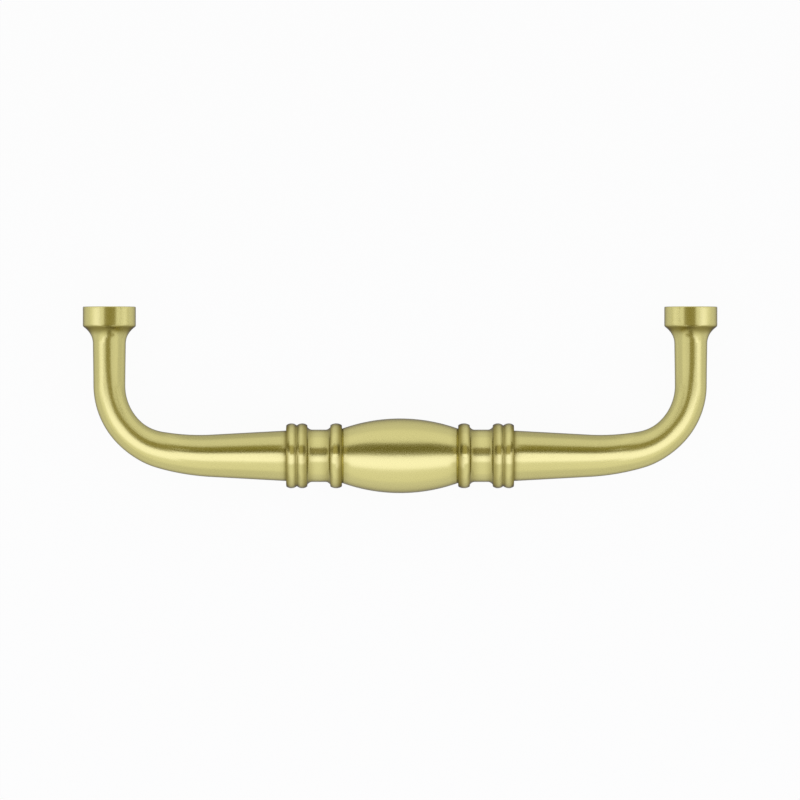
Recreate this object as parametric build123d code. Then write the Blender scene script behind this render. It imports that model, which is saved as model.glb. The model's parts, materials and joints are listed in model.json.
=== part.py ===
from build123d import *
from math import cos, radians, sin, tan
import os

# A brass wire pull for a drawer or a cabinet door, made in one piece: a bar turned with a bulge and
# rings, bent at both ends into legs, with a flared foot on each leg that is tapped for a screw.
# Sizes are in millimetres. X runs along the bar, Y points into the drawer front and Z is up.
# The origin lies midway between the two screw holes, on the face that meets the drawer front.

# Fixing
screw_spacing = 101.6  # from one screw hole to the other
bar_projection = 26.05  # from the drawer front out to the bar's axis

# Bulge in the middle of the bar
bulge_length = 20.3
bulge_dia = 13.05
bulge_end_dia = 9.5

# Single ring, neck and double ring on each side of the bulge
ring_dia = 11.34
ring_crown = 0.32  # how far each ring's rounded top rises from its sides
single_ring_width = 2.03
neck_length = 4.02
neck_dia = 9.14
neck_cove_rise = 0.5  # the coves in the neck's two corners
neck_cove_run = 0.85
bead_width = 1.77  # each of the double ring's two beads
bead_gap = 0.14
crown_limit = 0.65  # a crown takes up no more than this share of the ring's height
cove_limit = 0.9  # a cove takes up no more than this share of the ring's side
arch_cut = 40.0  # crowns and coves are parts of ellipses, cut this many degrees from the long axis

# Centreline from the double ring to the foot: straight arm, slow bend, main bend, straight leg
slow_bend_radius = 40.0
slow_bend_angle = 13.0
main_bend_radius = 11.6
taper_turn = 30.0  # how far round the main bend the wire goes on getting thinner, in degrees

# Round section along that centreline
arm_root_dia = 8.82  # at the double ring
arm_end_dia = 7.42  # where the slow bend starts
bend_dia = 6.4  # where the main bend starts
leg_dia = 5.56  # from where the taper ends to the end of the main bend
leg_top_dia = 5.74  # at the foot's cove

# Feet
foot_dia = 9.26
foot_height = 3.6
foot_cove_length = 2.85  # the cove from the rim into the leg, measured along the leg
foot_rim_chamfer = 0.22  # on the rim, where the cove meets it
foot_edge_chamfer = 0.15  # on the edge of the face that meets the drawer front

# Screw holes: the tapped length is at the thread's outside diameter, the drilled end at the tap drill's
screw_dia = 4.17
tap_drill_dia = 3.45
tapped_depth = 7.0
drilled_depth = 8.5
drill_point_angle = 118.0
hole_mouth_chamfer = 0.3

# Where the sizes above put things
foot_offset = screw_spacing / 2
single_ring_start = bulge_length / 2
neck_start = single_ring_start + single_ring_width
first_bead_start = neck_start + neck_length
second_bead_start = first_bead_start + bead_width + bead_gap
arm_start = second_bead_start + bead_width
ring_wall = (ring_dia - max(bulge_end_dia, neck_dia, arm_root_dia)) / 2
crown_rise = min(ring_crown, crown_limit * ring_wall)
ring_side_dia = ring_dia - 2 * crown_rise
cove_rise = min(neck_cove_rise, cove_limit * (ring_side_dia - neck_dia) / 2)
main_bend_angle = 90.0 - slow_bend_angle
leg_top = foot_height + foot_cove_length

bar_axis = Axis((0, -bar_projection, 0), (1, 0, 0))
leg_axis = Axis((foot_offset, 0, 0), (0, 1, 0))


def bar_point(along, dia):
    return (along, dia / 2 - bar_projection)


def arch_radii(run, rise):
    """The radii of an ellipse that rises this much over this run, from the cut to its top."""
    return run / cos(radians(arch_cut)), rise / (1 - sin(radians(arch_cut)))


def ring_top(start, width):
    """The rounded top of a ring or bead, from one of its sides to the other."""
    along, across = arch_radii(width / 2, crown_rise)
    centre = bar_point(start + width / 2, ring_dia - 2 * across)
    return EllipticalCenterArc(centre, along, across, 180 - arch_cut, arc_size=2 * arch_cut - 180)


def neck_cove(end, run):
    """The cove between a ring's side and the neck; run is negative at the neck's outer end."""
    along, across = arch_radii(abs(run), cove_rise)
    centre = bar_point(end + run, neck_dia + 2 * across)
    start_angle = 180 + arch_cut if run > 0 else 270
    return EllipticalCenterArc(centre, along, across, start_angle, arc_size=90 - arch_cut)


def turned(pieces):
    """Joins the pieces of an outline with straight lines, closes it along the bar's axis and turns it."""
    outline = Curve() + pieces
    for before, after in zip(pieces, pieces[1:]):
        outline += Line(before @ 1, after @ 0)
    first = pieces[0] @ 0
    last = pieces[-1] @ 1
    outline += Polyline(last, bar_point(last.X, 0), bar_point(first.X, 0), first)
    return revolve(make_face(outline.edges()), bar_axis)


def bulge():
    start = bar_point(-bulge_length / 2, bulge_end_dia)
    end = bar_point(bulge_length / 2, bulge_end_dia)
    return turned([ThreePointArc(start, bar_point(0, bulge_dia), end)])


def rings():
    """The single ring, the neck with its two coves and the double ring."""
    return turned([
        ring_top(single_ring_start, single_ring_width),
        neck_cove(neck_start, neck_cove_run),
        neck_cove(first_bead_start, -neck_cove_run),
        ring_top(first_bead_start, bead_width),
        ring_top(second_bead_start, bead_width),
    ])


def across_path(path_piece, position):
    """The plane across the centreline, with its own X kept in the plane of the bends."""
    along = path_piece % position
    return Plane(origin=path_piece @ position, x_dir=(-along.Y, along.X, 0), z_dir=along)


def round_section(path_piece, position, dia):
    return across_path(path_piece, position) * Circle(dia / 2)


def tapered_rod(line, start_dia, end_dia):
    upright = (Align.CENTER, Align.CENTER, Align.MIN)
    return across_path(line, 0) * Cone(start_dia / 2, end_dia / 2, line.length, align=upright)


def arm_and_leg():
    """The arm, bends and leg: a round section that gets thinner along the bent centreline."""
    turn = radians(main_bend_angle)
    bend_reach = main_bend_radius * (1 - cos(turn)) + slow_bend_radius * cos(turn)
    arm = Line((arm_start, -bar_projection), (foot_offset - bend_reach, -bar_projection))
    slow_bend = JernArc(arm @ 1, arm % 1, slow_bend_radius, slow_bend_angle)
    thinning_bend = JernArc(slow_bend @ 1, slow_bend % 1, main_bend_radius, taper_turn)
    even_turn = main_bend_angle - taper_turn
    even_bend = JernArc(thinning_bend @ 1, thinning_bend % 1, main_bend_radius, even_turn)
    leg = Line(even_bend @ 1, (foot_offset, -leg_top))
    sections = [
        round_section(slow_bend, 0, arm_end_dia),
        round_section(thinning_bend, 0, bend_dia),
        round_section(thinning_bend, 1, leg_dia),
    ]
    bends = sweep(sections, path=slow_bend + thinning_bend, multisection=True)
    bends += sweep(round_section(even_bend, 0, leg_dia), path=even_bend)
    return tapered_rod(arm, arm_root_dia, arm_end_dia) + bends + tapered_rod(leg, leg_dia, leg_top_dia)


def foot():
    """The foot's disc and the cove that runs from its rim into the leg, turned about the leg's axis."""
    rim = foot_offset + foot_dia / 2
    lip = rim - foot_rim_chamfer
    leg_side = foot_offset + leg_top_dia / 2
    along, across = arch_radii(foot_cove_length, lip - leg_side)
    cove = EllipticalCenterArc((leg_side + across, -leg_top), across, along, 180, arc_size=arch_cut - 90)
    corners = [
        (lip, -foot_height),
        (rim, foot_rim_chamfer - foot_height),
        (rim, -foot_edge_chamfer),
        (rim - foot_edge_chamfer, 0),
        (foot_offset, 0),
        (foot_offset, -leg_top),
        (leg_side, -leg_top),
    ]
    return revolve(make_face((cove + Polyline(*corners)).edges()), leg_axis)


def screw_hole():
    """A blind tapped hole: chamfered mouth, tapped length, drilled end and drill point."""
    tapped = screw_dia / 2
    drilled = tap_drill_dia / 2
    mouth = tapped + hole_mouth_chamfer
    point_depth = drilled_depth + drilled / tan(radians(drill_point_angle / 2))
    steps = [
        (0, 0),
        (mouth, 0),
        (tapped, hole_mouth_chamfer),
        (tapped, tapped_depth),
        (drilled, tapped_depth),
        (drilled, drilled_depth),
        (0, point_depth),
    ]
    outline = [(foot_offset + radius, -depth) for radius, depth in steps]
    return revolve(make_face(Polyline(*outline, close=True).edges()), leg_axis)


def wire_pull():
    right_side = rings() + arm_and_leg() + foot() - screw_hole()
    return bulge() + right_side + mirror(right_side, Plane.YZ)


os.makedirs("parts", exist_ok=True)
export_step(wire_pull(), "parts/wire_pull.step")
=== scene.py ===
import json
import math
import bmesh
import bpy
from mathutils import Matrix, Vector, geometry


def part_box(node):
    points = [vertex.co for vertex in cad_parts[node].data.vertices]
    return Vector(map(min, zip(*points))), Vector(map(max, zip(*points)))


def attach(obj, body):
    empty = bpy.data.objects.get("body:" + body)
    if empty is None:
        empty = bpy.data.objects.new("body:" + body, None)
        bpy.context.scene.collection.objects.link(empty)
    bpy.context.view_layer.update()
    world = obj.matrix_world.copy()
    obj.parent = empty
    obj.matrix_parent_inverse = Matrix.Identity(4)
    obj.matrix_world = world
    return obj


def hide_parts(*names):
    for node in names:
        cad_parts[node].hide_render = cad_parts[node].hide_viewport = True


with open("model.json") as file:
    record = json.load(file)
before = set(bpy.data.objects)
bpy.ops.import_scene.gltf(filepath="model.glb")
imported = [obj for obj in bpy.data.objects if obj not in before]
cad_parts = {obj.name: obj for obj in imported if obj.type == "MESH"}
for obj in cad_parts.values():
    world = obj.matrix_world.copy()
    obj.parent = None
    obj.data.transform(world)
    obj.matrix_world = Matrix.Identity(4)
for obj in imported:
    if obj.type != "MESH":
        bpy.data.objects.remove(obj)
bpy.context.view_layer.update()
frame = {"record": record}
scene = bpy.context.scene
mm = 0.001  # sizes below are in millimetres

# what the frame already knows about the pull
lowCorner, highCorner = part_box("wire_pull")
screwHole = next(m for m in frame["record"]["mounts"] if m["name"] == "right_screw_hole")
footOffset = screwHole["pos_m"][0] / mm
boreRadius = screwHole["dims"]["r_mm"]
bulgeRadius = highCorner.z / mm
footRadius = highCorner.x / mm - footOffset
barReach = -lowCorner.y / mm - bulgeRadius
print("frame read: feet", round(2 * footOffset, 2), "mm apart, bar", round(barReach, 2), "mm out")

# the bent line that the wire is drawn along, from the middle of the bar out to a foot
path = {
    "slowRadius": 40.0,
    "slowTurn": 13.0,
    "mainRadius": 11.6,
}


def pathPieces():
    # length and turn of the arm, the slow bend, the main bend and the leg
    slow = math.radians(path["slowTurn"])
    main = math.pi / 2 - slow
    reach = path["mainRadius"] * (1 - math.sin(slow)) + path["slowRadius"] * math.sin(slow)
    rise = path["slowRadius"] * (1 - math.cos(slow)) + path["mainRadius"] * math.cos(slow)
    return [
        (footOffset - reach, 0.0),
        (path["slowRadius"] * slow, slow),
        (path["mainRadius"] * main, main),
        (barReach - rise, 0.0),
    ]


pieces = pathPieces()
pathLength = sum(length for length, turn in pieces)


def pathAt(along):
    # point and heading at a distance along the line; past either end it runs straight on
    x, y, heading = 0.0, -barReach, 0.0
    for index, (length, turn) in enumerate(pieces):
        step = along if index == len(pieces) - 1 else min(along, length)
        if turn:
            radius = length / turn
            swing = step / radius
            x += radius * (math.sin(heading + swing) - math.sin(heading))
            y += radius * (math.cos(heading) - math.cos(heading + swing))
            heading += swing
        else:
            x += step * math.cos(heading)
            y += step * math.sin(heading)
        along -= step
        if along == 0:
            break
    return x, y, heading


def besidePath(along, inward, side):
    # place beside the line; inward is towards the finger gap, side is 1 for the right half
    x, y, heading = pathAt(along)
    return side * (x - inward * math.sin(heading)), y + inward * math.cos(heading)


# the turned shape: how thick the wire is along that line
wire = {
    "sides": 80,
    "bulgeHalf": 10.15,
    "bulgeEnd": 4.75,
    "bulgeSteps": 30,
    "ring": 5.67,
    "crown": 0.32,  # how far the rings' rounded tops rise from their sides
    "ringEdge": 0.07,  # softening where a ring's top meets its side
    "singleWidth": 2.03,
    "neckLength": 4.02,
    "neck": 4.57,
    "coveRise": 0.5,
    "coveRun": 0.85,
    "beadWidth": 1.77,
    "beadGap": 0.14,
    # the arm: distance from the double ring, radius
    "thinning": [
        (0, 4.41), (5, 4.14), (12.9, 3.71), (18, 3.43),
        (22.3, 3.17), (26, 2.89), (29, 2.8), (37.6, 2.78),
    ],
    "legTop": 2.87,  # where the foot's cove starts
    "archCut": 40.0,  # crowns and coves are parts of ellipses, cut this far from the long axis
    "archSteps": 14,
    "cornerSteps": 4,
    "cornerShare": 0.49,  # the most of a straight that one rounded corner takes up
    "cornerPull": 0.55,  # how far a rounding's handles reach to its corner
    "rowStep": 0.3,
    "armStep": 0.55,
    "sharpAngle": 38.0,  # corners sharper than this stay crisp
    "grainPerMm": 0.01,
    # painted shade in the corners, darker brass colour where shade falls: reach and depth towards the
    # middle, then towards the foot
    "bulgeShade": (1.0, 0.3, 0.8, 1.0),
    "neckShade": (0.4, 0.72, 1.2, 0.48),
    "doubleShade": (1.0, 0.48, 0.8, 0.8),
    "beadShade": (0.5, 0.8, 0.5, 0.8),
    "armShade": (0.55, 0.95, 0.65, 0.3),
    "shadeFall": 3,  # more makes the shades end more sharply
}


def arched(middle, level, run, rise, start, end):
    # part of an ellipse whose top is at the middle: 0 is one side, 1 the top, 2 the other side
    cut = math.radians(wire["archCut"])
    along, across = run / math.cos(cut), rise / (1 - math.sin(cut))
    line = []
    for step in range(wire["archSteps"] + 1):
        share = start + (end - start) * step / wire["archSteps"]
        turn = math.pi - cut - share * (math.pi / 2 - cut)
        line.append((middle + along * math.cos(turn), level + across * (math.sin(turn) - 1), 0))
    return line


def supported(points, step):
    # adds points on the straights, so that none is longer than the step
    line = [points[0]]
    for point in points[1:]:
        gap = (point - line[-1]).length
        if gap < 1e-6:
            continue
        count = max(1, math.ceil(gap / step))
        start = line[-1]
        line += [start.lerp(point, part / count) for part in range(1, count + 1)]
    return line


def rounded(corners):
    # corners are (along, radius, rounding); gives a soft line through them
    share, pullIn = wire["cornerShare"], wire["cornerPull"]
    points = []
    for index, (along, radius, size) in enumerate(corners):
        here = Vector((along, radius, 0))
        if size == 0 or index in (0, len(corners) - 1):
            points.append(here)
            continue
        before = Vector((*corners[index - 1][:2], 0)) - here
        after = Vector((*corners[index + 1][:2], 0)) - here
        reach = min(size, share * before.length, share * after.length)
        start = here + before.normalized() * reach
        end = here + after.normalized() * reach
        points += geometry.interpolate_bezier(
            start, start.lerp(here, pullIn), end.lerp(here, pullIn), end, wire["cornerSteps"] + 1
        )
    return supported(points, wire["rowStep"])


def eased(stations, place):
    # smooth curve through (place, value) pairs
    def slope(index):
        low, high = max(index - 1, 0), min(index + 1, len(stations) - 1)
        return (stations[high][1] - stations[low][1]) / (stations[high][0] - stations[low][0])
    for index in range(len(stations) - 1):
        (x0, y0), (x1, y1) = stations[index], stations[index + 1]
        if place <= x1 or index == len(stations) - 2:
            width = x1 - x0
            t = (place - x0) / width
            return (
                (2 * t**3 - 3 * t**2 + 1) * y0 + (t**3 - 2 * t**2 + t) * width * slope(index)
                + (3 * t**2 - 2 * t**3) * y1 + (t**3 - t**2) * width * slope(index + 1)
            )


def ringCorners(start, width):
    # one ring or bead: its rounded top between two softened edges
    side, edge = wire["ring"] - wire["crown"], wire["ringEdge"]
    top = arched(start + width / 2, wire["ring"], width / 2, wire["crown"], 0, 2)
    return [(start, side, edge)] + top[1:-1] + [(start + width, side, edge)]


def turnedLine():
    # bulge, single ring, neck and double ring; also where the arm starts and the corners' shades
    w = wire
    rise = bulgeRadius - w["bulgeEnd"]
    arc = (w["bulgeHalf"] ** 2 + rise**2) / (2 * rise)
    swing = math.asin(w["bulgeHalf"] / arc)
    bulge = []
    for part in range(w["bulgeSteps"] + 1):
        angle = swing * part / w["bulgeSteps"]
        bulge.append(Vector((arc * math.sin(angle), bulgeRadius - arc * (1 - math.cos(angle)), 0)))
    ringStart = w["bulgeHalf"]
    neckStart = ringStart + w["singleWidth"]
    doubleStart = neckStart + w["neckLength"]
    secondStart = doubleStart + w["beadWidth"] + w["beadGap"]
    doubleEnd = secondStart + w["beadWidth"]
    armRoot = w["thinning"][0][1]
    corners = [(ringStart, w["bulgeEnd"], 0)]
    corners += ringCorners(ringStart, w["singleWidth"])
    corners += arched(neckStart + w["coveRun"], w["neck"], w["coveRun"], -w["coveRise"], 0, 1)
    corners += arched(doubleStart - w["coveRun"], w["neck"], w["coveRun"], -w["coveRise"], 1, 2)
    corners += ringCorners(doubleStart, w["beadWidth"])
    corners += ringCorners(secondStart, w["beadWidth"])
    corners.append((doubleEnd, armRoot, 0))
    shades = [
        (ringStart, *w["bulgeShade"]),
        (neckStart, *w["neckShade"]),
        (doubleStart, *w["doubleShade"]),
        (secondStart - w["beadGap"] / 2, *w["beadShade"]),
        (doubleEnd, *w["armShade"]),
    ]
    return bulge + rounded(corners)[1:], doubleEnd, shades


def armLine(armStart):
    # arm, bends and leg, up to the foot's cove
    legTop = pathLength - foot["height"] - foot["coveLength"]
    stations = [(armStart + place, radius) for place, radius in wire["thinning"]]
    stations.append((legTop, wire["legTop"]))
    count = math.ceil((legTop - armStart) / wire["armStep"])
    places = [armStart + (legTop - armStart) * part / count for part in range(1, count + 1)]
    return [Vector((place, eased(stations, place), 0)) for place in places]


foot = {
    "height": 3.6,
    "coveLength": 2.85,
    "lip": 0.22,  # bevel where the cove meets the rim
    "lipEdge": 0.132,  # rounding of the bevel's outer corner
    "edge": 0.16,  # rounding of the edge that meets the drawer front
    "shade": (1.05, 0.95, 0.3, 0.85),  # painted shade under the rim, as for the wire's corners
}

# tapped screw hole in each foot
hole = {
    "mouth": 0.3,  # countersink at the foot's face
    "mouthEdge": 0.06,  # rounding of its outer edge
    "tapped": 7.0,
    "drilled": 8.5,
    "drill": 1.725,
    "drillStep": 0.02,  # length over which the thread's end steps in to the drill's size
    "pointAngle": 118.0,
    "pointRows": (0.5, 0.97),  # shares of the way down the drill's point
    "pitch": 0.794,
    "rowsPerPitch": 12,
    "flank": 2.6,  # how steep the thread's sides are
    "rootFlat": 0.65,  # more makes the thread's roots wider
    "runOut": 0.5,  # length over which the thread starts
    "dullness": 0.6,
}


def footLine():
    # cove, rim and face of the foot, to the mouth of the hole; also the shade under the rim
    rim, face = footRadius, pathLength
    lip, lipAt = rim - foot["lip"], face - foot["height"]
    coveLength, legTop = foot["coveLength"], wire["legTop"]
    cove = arched(lipAt - coveLength, legTop, coveLength, legTop - lip, 1, 2)
    corners = cove[1:] + [
        (lipAt + foot["lip"], rim, foot["lipEdge"]),
        (face, rim, foot["edge"]),
        (face, boreRadius + hole["mouth"], hole["mouthEdge"]),
        (face - hole["mouth"], boreRadius, 0),
    ]
    return rounded(corners), (lipAt, *foot["shade"])


outsideLine, armStart, shades = turnedLine()
endLine, footShade = footLine()
outsideLine += armLine(armStart) + endLine
shades.append(footShade)
print("outline of the wire:", len(outsideLine), "rows each side")


def threadRadius(depth, turn):
    # crests at the drill's size, roots at the bore's, starting gently below the mouth
    t = (depth / hole["pitch"] - turn) % 1
    height = max(0.0, min(1.0, hole["flank"] * (1 - abs(2 * t - 1)) - hole["rootFlat"]))
    started = max(0.0, min(1.0, (depth - hole["mouth"]) / hole["runOut"]))
    return boreRadius - (boreRadius - hole["drill"]) * height * started


def holeRows(hand):
    # (along, radius round the hole) from the mouth to the drill's end; hand is 1 or -1
    mouth, tapped, drilled, drill = (hole[name] for name in ("mouth", "tapped", "drilled", "drill"))
    turns = [side / wire["sides"] for side in range(wire["sides"])]
    rows = []
    steps = math.ceil((tapped - mouth) / hole["pitch"] * hole["rowsPerPitch"])
    for step in range(1, steps + 1):
        depth = mouth + (tapped - mouth) * step / steps
        rows.append((pathLength - depth, [threadRadius(depth, hand * turn) for turn in turns]))
    for depth in (tapped + hole["drillStep"], (tapped + drilled) / 2, drilled):
        rows.append((pathLength - depth, [drill] * len(turns)))
    point = drill / math.tan(math.radians(hole["pointAngle"] / 2))
    for part in hole["pointRows"]:
        rows.append((pathLength - drilled - part * point, [drill * (1 - part)] * len(turns)))
    return rows


def shadeAt(along):
    # painted shade: up to 1 in a corner where shade falls, 0 away from it
    deepest = 0.0
    for place, reachIn, depthIn, reachOut, depthOut in shades:
        reach, depth = (reachIn, depthIn) if along < place else (reachOut, depthOut)
        fall = abs((along - place) / reach) ** wire["shadeFall"]
        deepest = max(deepest, depth * math.exp(-fall))
    return deepest


def addRow(mesh, along, radii, side):
    row = []
    for index, radius in enumerate(radii):
        angle = 2 * math.pi * index / len(radii)
        x, y = besidePath(along, radius * math.cos(angle), side)
        row.append(mesh.verts.new(Vector((x, y, radius * math.sin(angle))) * mm))
    return row


def makePull():
    mesh = bmesh.new()
    # painted shade for each vertex, darkening the brass colour in corners and in the hole
    shadeLayer = mesh.verts.layers.float.new("recess")
    uvLayer = mesh.loops.layers.uv.new("wire")
    outside = [(p.x, [p.y] * wire["sides"], shadeAt(p.x)) for p in outsideLine]
    left = outside[1:] + [(*row, hole["dullness"]) for row in holeRows(-1)]
    right = outside + [(*row, hole["dullness"]) for row in holeRows(1)]
    rows = []
    for side, half in ((-1, reversed(left)), (1, right)):
        for along, radii, shade in half:
            row = addRow(mesh, along, radii, side)
            for vert in row:
                vert[shadeLayer] = shade
            rows.append(row)
    travelled = 0.0
    for before, after in zip(rows, rows[1:]):
        step = (after[0].co - before[0].co).length / mm
        for turn in range(wire["sides"]):
            following = (turn + 1) % wire["sides"]
            face = mesh.faces.new((before[turn], before[following], after[following], after[turn]))
            spots = ((turn, 0), (turn + 1, 0), (turn + 1, step), (turn, step))
            for loop, (u, v) in zip(face.loops, spots):
                loop[uvLayer].uv = (u / wire["sides"], (travelled + v) * wire["grainPerMm"])
        travelled += step
    for end in (rows[0], rows[-1]):
        mesh.faces.new(end)
    bmesh.ops.recalc_face_normals(mesh, faces=mesh.faces)
    for face in mesh.faces:
        face.smooth = True
    for edge in mesh.edges:
        edge.smooth = edge.calc_face_angle(0) < math.radians(wire["sharpAngle"])
    data = bpy.data.meshes.new("pullBody")
    mesh.to_mesh(data)
    mesh.free()
    pull = bpy.data.objects.new("pullBody", data)
    scene.collection.objects.link(pull)
    return pull


pull = makePull()
print("pull made:", len(pull.data.polygons), "faces")

brass = {
    "tone": (0.73, 0.67, 0.28, 1),
    "warmTone": (0.7, 0.64, 0.255, 1),
    "cloudScale": 90.0,
    "cloudDetail": 3.0,
    # colour of the painted shade in corners and in the hole
    "shadeTone": (0.3, 0.25, 0.06, 1),
    "edgeTint": (0.3, 0.3, 0.45, 1),
    "roughness": 0.27,
    "roughnessSpread": 0.02,
    "grainScale": (260, 40, 1),
    "grainDetail": 4.0,
    "grainBump": 0.012,
    "grainDepth": 0.02,
}


def makeBrass():
    material = bpy.data.materials.new("satinBrass")
    material.use_nodes = True
    nodes, links = material.node_tree.nodes, material.node_tree.links
    shader = nodes["Principled BSDF"]
    shader.inputs["Metallic"].default_value = 1.0
    shader.inputs["Specular Tint"].default_value = brass["edgeTint"]
    # satin grain: fine streaks along the wire
    uv = nodes.new("ShaderNodeUVMap")
    uv.uv_map = "wire"
    stretch = nodes.new("ShaderNodeMapping")
    stretch.inputs["Scale"].default_value = brass["grainScale"]
    grain = nodes.new("ShaderNodeTexNoise")
    grain.inputs["Scale"].default_value = 1.0
    grain.inputs["Detail"].default_value = brass["grainDetail"]
    links.new(uv.outputs["UV"], stretch.inputs["Vector"])
    links.new(stretch.outputs["Vector"], grain.inputs["Vector"])
    # slow change of tone, as on handled brass
    place = nodes.new("ShaderNodeTexCoord")
    cloud = nodes.new("ShaderNodeTexNoise")
    cloud.inputs["Scale"].default_value = brass["cloudScale"]
    cloud.inputs["Detail"].default_value = brass["cloudDetail"]
    links.new(place.outputs["Object"], cloud.inputs["Vector"])
    tone = nodes.new("ShaderNodeMix")
    tone.data_type = "RGBA"
    tone.inputs["A"].default_value = brass["tone"]
    tone.inputs["B"].default_value = brass["warmTone"]
    links.new(cloud.outputs["Fac"], tone.inputs["Factor"])
    # painted shade: darker brass colour in the corners and the screw hole, where shade falls
    corner = nodes.new("ShaderNodeAttribute")
    corner.attribute_name = "recess"
    shadedTone = nodes.new("ShaderNodeMix")
    shadedTone.data_type = "RGBA"
    shadedTone.inputs["B"].default_value = brass["shadeTone"]
    links.new(corner.outputs["Fac"], shadedTone.inputs["Factor"])
    links.new(tone.outputs["Result"], shadedTone.inputs["A"])
    links.new(shadedTone.outputs["Result"], shader.inputs["Base Color"])
    # the grain in the gloss and as a slight relief
    rough = nodes.new("ShaderNodeMapRange")
    rough.inputs["To Min"].default_value = brass["roughness"] - brass["roughnessSpread"]
    rough.inputs["To Max"].default_value = brass["roughness"] + brass["roughnessSpread"]
    links.new(grain.outputs["Fac"], rough.inputs["Value"])
    links.new(rough.outputs["Result"], shader.inputs["Roughness"])
    bump = nodes.new("ShaderNodeBump")
    bump.inputs["Strength"].default_value = brass["grainBump"]
    bump.inputs["Distance"].default_value = brass["grainDepth"] * mm
    links.new(grain.outputs["Fac"], bump.inputs["Height"])
    links.new(bump.outputs["Normal"], shader.inputs["Normal"])
    return material


pull.data.materials.append(makeBrass())
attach(pull, "root")
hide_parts("wire_pull")
print("brass on")

# pale floor that keeps the pull's shadow
ground = {
    "half": 1500.0,
    "gap": 0.02,
    "tone": (0.55, 0.55, 0.55, 1),
    "lensGlow": 0.95,  # share of it that shows plain white to the lens
    "metalGlow": 0.5,  # and in the metal
}


def makeFloor():
    half = ground["half"] * mm
    corners = [(-half, -half, 0), (half, -half, 0), (half, half, 0), (-half, half, 0)]
    data = bpy.data.meshes.new("floor")
    data.from_pydata(corners, [], [(0, 1, 2, 3)])
    floor = bpy.data.objects.new("floor", data)
    floor.location.z = lowCorner.z - ground["gap"] * mm
    scene.collection.objects.link(floor)
    material = bpy.data.materials.new("paleFloor")
    material.use_nodes = True
    nodes, links = material.node_tree.nodes, material.node_tree.links
    nodes.remove(nodes["Principled BSDF"])
    matte = nodes.new("ShaderNodeBsdfDiffuse")
    matte.inputs["Color"].default_value = ground["tone"]
    glow = nodes.new("ShaderNodeEmission")
    rays = nodes.new("ShaderNodeLightPath")
    lens = nodes.new("ShaderNodeMath")
    lens.operation = "MULTIPLY"
    lens.inputs[1].default_value = ground["lensGlow"]
    metal = nodes.new("ShaderNodeMath")
    metal.operation = "MULTIPLY"
    metal.inputs[1].default_value = ground["metalGlow"]
    seen = nodes.new("ShaderNodeMath")
    seen.operation = "MAXIMUM"
    share = nodes.new("ShaderNodeMath")
    share.operation = "MAXIMUM"
    mix = nodes.new("ShaderNodeMixShader")
    links.new(rays.outputs["Is Camera Ray"], lens.inputs[0])
    links.new(rays.outputs["Is Glossy Ray"], metal.inputs[0])
    links.new(lens.outputs[0], seen.inputs[0])
    links.new(metal.outputs[0], seen.inputs[1])
    links.new(seen.outputs[0], share.inputs[0])
    links.new(rays.outputs["Is Transmission Ray"], share.inputs[1])
    links.new(share.outputs[0], mix.inputs["Fac"])
    links.new(matte.outputs[0], mix.inputs[1])
    links.new(glow.outputs[0], mix.inputs[2])
    links.new(mix.outputs[0], nodes["Material Output"].inputs["Surface"])
    data.materials.append(material)


tent = {
    "tone": (1, 1, 1, 1),
    "glow": 0.93,
}


def makeTent():
    world = bpy.data.worlds.new("tent")
    world.use_nodes = True
    background = world.node_tree.nodes["Background"]
    background.inputs["Color"].default_value = tent["tone"]
    background.inputs["Strength"].default_value = tent["glow"]
    scene.world = world
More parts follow.
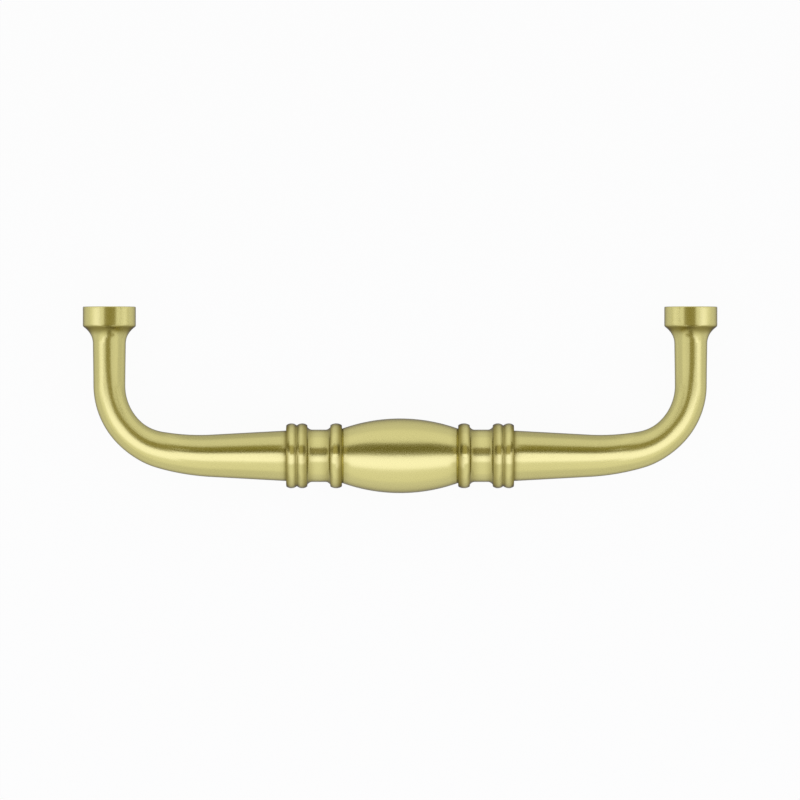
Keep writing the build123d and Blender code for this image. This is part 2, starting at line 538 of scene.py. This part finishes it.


# glowing cards that only the metal shows, as painted dark and bright reflections; a tone with one
# number is a grey
cards = {
    # wide dark card above the bar's inner side, its edges in degrees from straight up
    "barHeight": 220.0,
    "barTurns": (-39, -1.5),
    "wingTurns": (-45, -6.5),
    "barHalf": (45.0, 115.0, 260.0),  # its edges step back between the first two
    "barTone": (0.15, 0.13, 0.002),
    # low cards over the rings and arms: height, ends along the bar, edges across it, tone
    "low": [
        (8.0, (11.2, 21.0), (-6.5, -2.75), (0.93,)),
        (6.6, (10.5, 12.3), (-0.1, 0.47), (1.37, 1.38, 1.7)),
        (6.6, (10.5, 12.3), (0.47, 2.9), (0.44, 0.4, 0.2)),
        (8.0, (12.25, 16.1), (1.2, 4.1), (0.28, 0.245, 0.11)),
        (8.0, (16.1, 19.9), (-0.2, 0.5), (1.37, 1.38, 1.7)),
        (8.0, (16.1, 19.9), (0.5, 4.1), (0.46, 0.42, 0.22)),
        (8.0, (19.9, 21.0), (1.2, 4.1), (0.3, 0.265, 0.12)),
        (8.0, (13.0, 21.0), (4.1, 8.0), (0.93,)),
        (12.0, (21.0, 41.0), (-9.5, -5.4), (0.93,)),
        (12.0, (21.0, 41.0), (0.2, 2.4), (1.37, 1.38, 1.7)),
        (12.0, (21.0, 41.0), (6.0, 12.6), (0.27, 0.24, 0.05)),
        (12.3, (38.0, 50.0), (5.0, 13.4), (0.85,)),
    ],
    # strips over the bends, legs and feet: height, tone, then (along the wire, both edges inwards)
    "strips": [
        (12.0, (0.3, 0.265, 0.09), [
            (41.0, 1.6, 9.0), (42.9, 0.6, 7.8), (45.3, 0.9, 8.8), (47.8, 0.8, 8.4),
            (50.2, 0.6, 7.8), (52.6, 0.2, 7.0), (55.0, -0.8, 5.4), (57.5, -3.1, 4.0),
            (60.0, -4.7, 2.2), (65.5, -4.9, 1.9), (67.0, -3.4, 6.0), (77.0, -3.4, 6.0),
        ]),
        (12.0, (1.15, 1.16, 1.4), [(66.8, -11.1, -7.6), (75.0, -11.1, -7.6)]),
        (12.3, (0.82,), [(58.5, -6.8, 12.0), (66.5, -6.8, 12.0)]),
        (12.3, (0.93,), [(66.5, -7.6, 12.0), (77.0, -7.6, 12.0)]),
    ],
    # upright screens beside the wire: both ends (along it, inwards), bottom, top, tone
    "screens": [
        ((21.0, 13.0), (41.0, 13.0), -6.4, 1.0, (0.6,)),
        ((21.0, 13.0), (41.0, 13.0), 1.0, 12.0, (0.82,)),
        ((44.0, 9.4), (56.0, 9.4), -6.4, 0.5, (0.62,)),
        ((44.0, 9.7), (56.0, 9.7), -6.4, 11.6, (0.8,)),
        ((57.0, 7.3), (67.2, 7.3), 0.5, 5.0, (0.66,)),
        ((57.0, 7.3), (67.2, 7.3), 5.0, 10.5, (0.87,)),
        ((21.0, -28.0), (41.8, -28.0), -6.4, 9.5, (0.74,)),
        ((41.8, -40.0), (57.5, -40.0), -6.4, 9.5, (0.74,)),
        ((57.5, -28.0), (66.0, -28.0), -6.4, 9.5, (0.74,)),
    ],
    # upright dark card that each foot's cove looks into: where along the leg, corners (inwards, up)
    "coveAt": 57.7,
    "coveCorners": [(-1.0, 4.6), (1.3, 4.6), (3.8, 12.0), (-3.0, 12.0)],
    "coveTone": (0.26, 0.23, 0.08),
}


def makeCard(name, corners, tone):
    material = bpy.data.materials.new(name)
    material.use_nodes = True
    nodes, links = material.node_tree.nodes, material.node_tree.links
    nodes.remove(nodes["Principled BSDF"])
    # the card glows with its tone and shows only as a reflection in the metal
    glow = nodes.new("ShaderNodeEmission")
    glow.inputs["Color"].default_value = (*(tone * 3)[:3], 1)
    links.new(glow.outputs[0], nodes["Material Output"].inputs["Surface"])
    data = bpy.data.meshes.new(name)
    data.from_pydata([Vector(corner) * mm for corner in corners], [], [range(len(corners))])
    data.materials.append(material)
    card = bpy.data.objects.new(name, data)
    scene.collection.objects.link(card)
    card.visible_camera = False
    card.visible_diffuse = False
    card.visible_shadow = False
    card.visible_transmission = False


def turnedFromBar(height, turn):
    # y at this height, on a line that leaves the bar at this turn from straight up, outwards
    return -barReach - height * math.tan(math.radians(turn))


def makeBarCard():
    height = cards["barHeight"]
    far, near = (turnedFromBar(height, turn) for turn in cards["barTurns"])
    wingFar, wingNear = (turnedFromBar(height, turn) for turn in cards["wingTurns"])
    inner, outer, end = cards["barHalf"]
    right = [
        (inner, near), (outer, wingNear), (end, wingNear),
        (end, wingFar), (outer, wingFar), (inner, far),
    ]
    outline = right + [(-x, y) for x, y in reversed(right)]
    makeCard("barCard", [(x, y, height) for x, y in outline], cards["barTone"])


def makeLowCard(side, height, along, across, tone):
    x0, x1 = (side * x for x in along)
    y0, y1 = (y - barReach for y in across)
    makeCard("lowCard", [(x0, y0, height), (x1, y0, height), (x1, y1, height), (x0, y1, height)], tone)


def makeStrip(side, height, tone, stations):
    near = [(*besidePath(along, inner, side), height) for along, inner, outer in stations]
    far = [(*besidePath(along, outer, side), height) for along, inner, outer in stations]
    makeCard("stripCard", near + far[::-1], tone)


def makeScreen(side, first, last, low, high, tone):
    start, end = besidePath(*first, side), besidePath(*last, side)
    makeCard("screen", [(*start, low), (*end, low), (*end, high), (*start, high)], tone)


def makeCoveCard(side):
    at = cards["coveAt"]
    corners = [(*besidePath(at, inward, side), up) for inward, up in cards["coveCorners"]]
    makeCard("coveCard", corners, cards["coveTone"])


def makeCards():
    makeBarCard()
    for side in (-1, 1):
        for card in cards["low"]:
            makeLowCard(side, *card)
        for strip in cards["strips"]:
            makeStrip(side, *strip)
        for screen in cards["screens"]:
            makeScreen(side, *screen)
        makeCoveCard(side)


# bright panel above the bar's outer side, and a small one outside each leg
panels = {
    "tone": (1.0, 1.02, 1.75),
    "topHeight": 130.0,
    "topTurns": (-1, 42),  # its edges in degrees from straight up
    "topWidth": 400.0,
    "topGlow": 0.46,
    "topSpread": 180,
    "sideAim": 0.35,  # share of the way from the foot's face to the bar
    "sideTurn": 56,
    "sideAway": 70.0,
    "sideSize": (32.0, 45.0),
    "sideGlow": 0.04,
    "sideSpread": 60,
}


def makePanel(name, spot, aim, width, length, glow, spread):
    data = bpy.data.lights.new(name, "AREA")
    data.shape = "RECTANGLE"
    data.size = width * mm
    data.size_y = length * mm
    data.energy = glow * math.pi * data.size * data.size_y
    data.color = panels["tone"]
    data.spread = math.radians(spread)
    panel = bpy.data.objects.new(name, data)
    panel.location = Vector(spot) * mm
    panel.rotation_euler = (Vector(aim) - Vector(spot)).to_track_quat("-Z", "Y").to_euler()
    panel.visible_camera = False
    scene.collection.objects.link(panel)


def makePanels():
    height = panels["topHeight"]
    near, far = (turnedFromBar(height, turn) for turn in panels["topTurns"])
    middle = (near + far) / 2
    spot, aim = (0, middle, height), (0, middle, 0)
    makePanel(
        "topPanel", spot, aim, panels["topWidth"], near - far, panels["topGlow"], panels["topSpread"]
    )
    turn = math.radians(panels["sideTurn"])
    for side in (-1, 1):
        leg = Vector((side * footOffset, -panels["sideAim"] * barReach, 0))
        spot = leg + Vector((side * math.sin(turn), 0, math.cos(turn))) * panels["sideAway"]
        makePanel("sidePanel", spot, leg, *panels["sideSize"], panels["sideGlow"], panels["sideSpread"])


makeFloor()
makeTent()
makeCards()
makePanels()
print("studio set")

# the photograph's view: straight down on the bar, through a long lens
shot = {
    "lens": 300.0,
    "sensor": 36.0,
    "clipEnd": 20000.0,
    "imageSize": 800,
    "pixelsPerMm": 5.723,
    "middleColumn": 399.57,
    "footRow": 306.2,
}


def makeCamera():
    data = bpy.data.cameras.new("camera")
    data.lens = shot["lens"]
    data.sensor_width = shot["sensor"]
    data.clip_end = shot["clipEnd"] * mm
    camera = bpy.data.objects.new("camera", data)
    field = shot["imageSize"] / shot["pixelsPerMm"]
    half = (shot["imageSize"] - 1) / 2
    x = (half - shot["middleColumn"]) / shot["pixelsPerMm"]
    y = -(half - shot["footRow"]) / shot["pixelsPerMm"]
    distance = field * shot["lens"] / shot["sensor"]
    camera.location = Vector((x, y, distance)) * mm
    scene.collection.objects.link(camera)
    scene.camera = camera


makeCamera()
scene.view_settings.view_transform = "Standard"
print("camera set")
